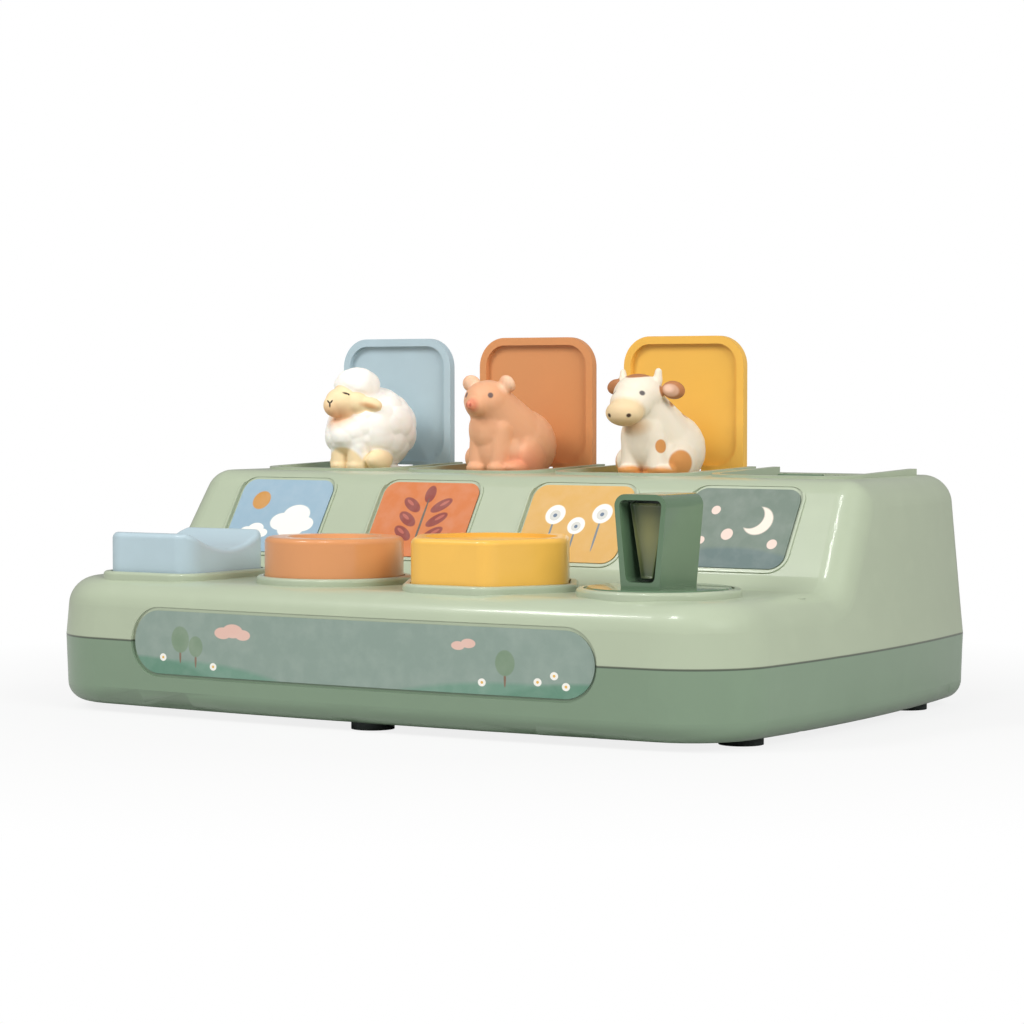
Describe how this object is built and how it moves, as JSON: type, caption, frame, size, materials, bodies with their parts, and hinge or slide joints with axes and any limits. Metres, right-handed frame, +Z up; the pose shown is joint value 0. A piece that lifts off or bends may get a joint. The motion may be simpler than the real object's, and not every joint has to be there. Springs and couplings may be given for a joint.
{
  "type": "pop up animal toy",
  "caption": "Moulded activity toy with sprung lids that flip open to raise animal figures, each worked by its own control: rocker, turning knob, push button and twist handle.",
  "frame": {"origin": "centre of the bounding box's footprint, on the surface that the rubber feet stand on", "axes": "+X along the width, from the rocker to the twist handle; +Y from the controls to the lids; +Z up"},
  "size_m": [0.336, 0.2335, 0.1553],
  "materials": {
    "shell_sage": "satin moulded",
    "tray_green": "satin moulded",
    "foot_rubber": "matt",
    "zinc_steel": "zinc plated",
    "spring_steel": "bright drawn",
    "inner_white": "as moulded",
    "blue_plastic": "satin moulded",
    "terracotta_plastic": "satin moulded",
    "yellow_plastic": "satin moulded",
    "green_plastic": "satin moulded",
    "label_front": "printed film",
    "label_blue": "printed film",
    "label_terracotta": "printed film",
    "label_yellow": "printed film",
    "label_green": "printed film",
    "figure_sheep": "painted vinyl",
    "figure_pig": "painted vinyl",
    "figure_cow": "painted vinyl",
    "figure_hen": "painted vinyl"
  },
  "bodies": {
    "housing": {"upper_shell": "shell_sage", "base_tray": "tray_green", "rubber_feet": "foot_rubber", "housing_screws": "zinc_steel", "front_label": "label_front", "rocker_pin": "zinc_steel", "panel_label_1": "label_blue", "well_1": "shell_sage", "lid_pin_1": "zinc_steel", "lift_spring_1": "spring_steel", "latch_spring_1": "spring_steel", "panel_label_2": "label_terracotta", "well_2": "shell_sage", "lid_pin_2": "zinc_steel", "lift_spring_2": "spring_steel", "latch_spring_2": "spring_steel", "panel_label_3": "label_yellow", "well_3": "shell_sage", "lid_pin_3": "zinc_steel", "lift_spring_3": "spring_steel", "latch_spring_3": "spring_steel", "panel_label_4": "label_green", "well_4": "shell_sage", "lid_pin_4": "zinc_steel", "lift_spring_4": "spring_steel", "latch_spring_4": "spring_steel"},
    "lid_1_body": {"lid_1": "blue_plastic", "lid_spring_1": "spring_steel"},
    "lift_1_body": {"lift_1": "shell_sage", "sheep": "figure_sheep"},
    "latch_1_body": {"latch_1": "inner_white"},
    "lid_2_body": {"lid_2": "terracotta_plastic", "lid_spring_2": "spring_steel"},
    "lift_2_body": {"lift_2": "shell_sage", "pig": "figure_pig"},
    "latch_2_body": {"latch_2": "inner_white"},
    "lid_3_body": {"lid_3": "yellow_plastic", "lid_spring_3": "spring_steel"},
    "lift_3_body": {"lift_3": "shell_sage", "cow": "figure_cow"},
    "latch_3_body": {"latch_3": "inner_white"},
    "lid_4_body": {"lid_4": "green_plastic", "lid_spring_4": "spring_steel"},
    "lift_4_body": {"lift_4": "shell_sage", "hen": "figure_hen"},
    "latch_4_body": {"latch_4": "inner_white"},
    "rocker_body": {"rocker": "blue_plastic"},
    "knob_body": {"knob": "terracotta_plastic", "knob_shaft": "inner_white"},
    "button_body": {"push_button": "yellow_plastic"},
    "handle_body": {"turn_disc": "green_plastic", "turn_grip": "green_plastic", "grip_core": "green_plastic", "handle_shaft": "inner_white"}
  },
  "joints": [
    {"name": "lift_1_slide", "type": "slide", "parent": "housing", "child": "lift_1_body", "axis": [0, 0, 1], "range_m": [-0.054, 0], "stiffness_N_per_m": 20, "springref_m": 0.075, "deforming": ["lift_spring_1"]},
    {"name": "lid_1_hinge", "type": "hinge", "parent": "housing", "child": "lid_1_body", "pos_m": [-0.1125, 0.0845, 0.0935], "axis": [1, 0, 0], "range_deg": [0, 90]},
    {"name": "lift_2_slide", "type": "slide", "parent": "housing", "child": "lift_2_body", "axis": [0, 0, 1], "range_m": [-0.054, 0], "stiffness_N_per_m": 20, "springref_m": 0.075, "deforming": ["lift_spring_2"]},
    {"name": "lid_2_hinge", "type": "hinge", "parent": "housing", "child": "lid_2_body", "pos_m": [-0.0375, 0.0845, 0.0935], "axis": [1, 0, 0], "range_deg": [0, 90]},
    {"name": "lift_3_slide", "type": "slide", "parent": "housing", "child": "lift_3_body", "axis": [0, 0, 1], "range_m": [-0.054, 0], "stiffness_N_per_m": 20, "springref_m": 0.075, "deforming": ["lift_spring_3"]},
    {"name": "lid_3_hinge", "type": "hinge", "parent": "housing", "child": "lid_3_body", "pos_m": [0.0375, 0.0845, 0.0935], "axis": [1, 0, 0], "range_deg": [0, 90]},
    {"name": "lift_4_slide", "type": "slide", "parent": "housing", "child": "lift_4_body", "axis": [0, 0, 1], "range_m": [0, 0.054], "deforming": ["lift_spring_4"]},
    {"name": "lid_4_hinge", "type": "hinge", "parent": "housing", "child": "lid_4_body", "pos_m": [0.1125, 0.0845, 0.0935], "axis": [1, 0, 0], "range_deg": [-90, 0]},
    {"name": "rocker_tilt", "type": "hinge", "parent": "housing", "child": "rocker_body", "pos_m": [-0.1125, -0.073, 0.049], "axis": [1, 0, 0], "range_deg": [-6, 6], "stiffness_Nm_per_rad": 0.3},
    {"name": "knob_turn", "type": "hinge", "parent": "housing", "child": "knob_body", "pos_m": [-0.0375, -0.073, 0.055], "axis": [0, 0, 1], "range_deg": [-45, 45], "stiffness_Nm_per_rad": 0.05},
    {"name": "button_press", "type": "slide", "parent": "housing", "child": "button_body", "axis": [0, 0, 1], "range_m": [-0.004, 0], "stiffness_N_per_m": 300, "springref_m": 0.004},
    {"name": "handle_turn", "type": "hinge", "parent": "housing", "child": "handle_body", "pos_m": [0.1125, -0.073, 0.055], "axis": [0, 0, 1], "range_deg": [-45, 45], "stiffness_Nm_per_rad": 0.05},
    {"name": "latch_1_slide", "type": "slide", "parent": "housing", "child": "latch_1_body", "axis": [0, 1, 0], "range_m": [-0.0031, 0.0031], "deforming": ["latch_spring_1"]},
    {"name": "latch_2_slide", "type": "slide", "parent": "housing", "child": "latch_2_body", "axis": [0, 1, 0], "range_m": [-0.003, 0.003], "deforming": ["latch_spring_2"]},
    {"name": "latch_3_slide", "type": "slide", "parent": "housing", "child": "latch_3_body", "axis": [0, 1, 0], "range_m": [-0.003, 0], "deforming": ["latch_spring_3"]},
    {"name": "latch_4_slide", "type": "slide", "parent": "housing", "child": "latch_4_body", "axis": [0, 1, 0], "range_m": [-0.003, 0.003], "deforming": ["latch_spring_4"]}
  ],
  "couplings": [
    {"joint": "lid_1_hinge", "follows": "lift_1_slide", "rad_per_m": -29.08},
    {"joint": "lid_2_hinge", "follows": "lift_2_slide", "rad_per_m": -29.08},
    {"joint": "lid_3_hinge", "follows": "lift_3_slide", "rad_per_m": -29.08},
    {"joint": "lid_4_hinge", "follows": "lift_4_slide", "rad_per_m": -29.08},
    {"joint": "latch_1_slide", "follows": "rocker_tilt", "m_per_rad": 0.029},
    {"joint": "latch_2_slide", "follows": "knob_turn", "m_per_rad": 0.00375},
    {"joint": "latch_3_slide", "follows": "button_press", "ratio": 0.75},
    {"joint": "latch_4_slide", "follows": "handle_turn", "m_per_rad": 0.00375}
  ]
}
